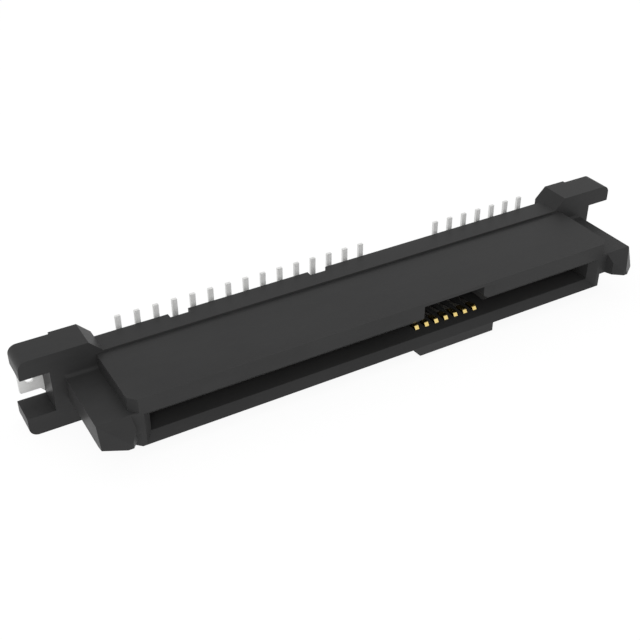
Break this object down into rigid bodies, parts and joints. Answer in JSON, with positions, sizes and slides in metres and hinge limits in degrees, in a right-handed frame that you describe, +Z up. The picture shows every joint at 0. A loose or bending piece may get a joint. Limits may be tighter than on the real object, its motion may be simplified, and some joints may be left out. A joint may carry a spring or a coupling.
{
  "type": "sas connector",
  "caption": "Surface-mount board receptacle with a long mating slot, contacts in power and signal groups, two guide posts and soldered ears.",
  "frame": {"origin": "centre of the part's footprint, on the plane its two ears stand on", "axes": "+X along the contact rows towards contact S1, +Y towards the circuit board, -Y is the mating side, +Z up as the part lies on its long side"},
  "size_m": [0.0456, 0.009, 0.0055],
  "materials": {
    "housing": "moulded black, fine satin",
    "contact": "copper alloy strip, gold plated at the contact end and tin plated at the foot",
    "board_lock": "tin-plated sheet"
  },
  "bodies": {
    "root": {"housing": "housing", "contact_p1": "contact", "contact_p2": "contact", "contact_p3": "contact", "contact_p4": "contact", "contact_p5": "contact", "contact_p6": "contact", "contact_p7": "contact", "contact_p8": "contact", "contact_p9": "contact", "contact_p10": "contact", "contact_p11": "contact", "contact_p12": "contact", "contact_p13": "contact", "contact_p14": "contact", "contact_p15": "contact", "contact_s1": "contact", "contact_s2": "contact", "contact_s3": "contact", "contact_s4": "contact", "contact_s5": "contact", "contact_s6": "contact", "contact_s7": "contact", "contact_s8": "contact", "contact_s9": "contact", "contact_s10": "contact", "contact_s11": "contact", "contact_s12": "contact", "contact_s13": "contact", "contact_s14": "contact", "board_lock_left": "board_lock", "board_lock_right": "board_lock"}
  },
  "joints": []
}
